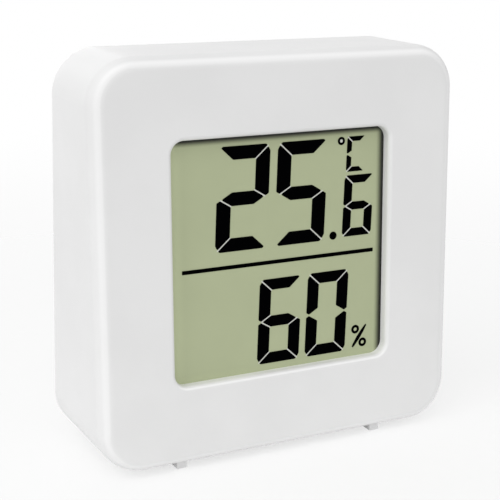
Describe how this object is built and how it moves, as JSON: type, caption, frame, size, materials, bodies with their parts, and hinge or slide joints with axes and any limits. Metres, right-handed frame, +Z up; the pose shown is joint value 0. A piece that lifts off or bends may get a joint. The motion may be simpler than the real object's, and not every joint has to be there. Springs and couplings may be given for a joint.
{
  "type": "temperature humidity sensor",
  "caption": "Small square desk display for temperature and humidity: wedge case, recessed LCD, turn-to-open battery cap, unit button and hanging hole at the back.",
  "frame": {"origin": "on the table, in the middle of the case's footprint", "axes": "+X to the right seen from the front, +Y from the display towards the back, +Z up"},
  "size_m": [0.045, 0.016, 0.0459],
  "materials": {
    "housing_plastic": "fine satin moulded plastic, white",
    "cover_plastic": "fine textured moulded plastic, white",
    "key_plastic": "satin grey",
    "polarizer_film": "matt grey-green film",
    "display_glass": "clear, ground edges",
    "reflector_film": "matt silver-grey film",
    "holder_plastic": "plain moulded plastic, natural white",
    "connector_rubber": "silicone with black conductive layers",
    "board_laminate": "green solder mask over glass laminate",
    "screw_steel": "zinc plated",
    "cell_steel": "nickel plated, bright",
    "cell_seal_plastic": "dark nylon",
    "cell_chemistry": "pressed powder",
    "contact_steel": "nickel plated spring strip",
    "switch_plastic": "black",
    "resin_black": "glossy black resin",
    "sensor_plastic": "matt white",
    "bead_glass": "brown glass drop",
    "crystal_metal": "drawn can",
    "chip_ceramic": "tan ceramic with tinned ends",
    "resistor_ceramic": "black glaze on white ceramic"
  },
  "bodies": {
    "case": {"front_housing": "housing_plastic", "lcd_front_polarizer": "polarizer_film", "lcd_front_glass": "display_glass", "lcd_rear_glass": "display_glass", "lcd_rear_reflector": "reflector_film", "lcd_holder": "holder_plastic", "elastic_connector": "connector_rubber", "circuit_board": "board_laminate", "board_screws": "screw_steel", "rear_cover": "cover_plastic", "cover_screws": "screw_steel", "coin_cell_can": "cell_steel", "coin_cell_cap": "cell_steel", "coin_cell_seal": "cell_seal_plastic", "coin_cell_stack": "cell_chemistry", "positive_contact": "contact_steel", "negative_contact": "contact_steel", "tact_switch": "switch_plastic", "switch_plate": "contact_steel", "controller_blob": "resin_black", "humidity_sensor": "sensor_plastic", "thermistor": "bead_glass", "timing_crystal": "crystal_metal", "chip_capacitors": "chip_ceramic", "chip_resistors": "resistor_ceramic"},
    "battery_cap": {"battery_cap": "cover_plastic"},
    "unit_button": {"unit_button": "key_plastic", "switch_plunger": "switch_plastic"}
  },
  "joints": [
    {"name": "cap_turn", "type": "hinge", "parent": "case", "child": "battery_cap", "pos_m": [0, 0.00729, 0.01688], "axis": [0, 0.999, 0.0444], "range_deg": [0, 40]},
    {"name": "button_press", "type": "slide", "parent": "case", "child": "unit_button", "axis": [0, -0.999, -0.0444], "range_m": [0, 0.0003], "stiffness_N_per_m": 1000}
  ]
}
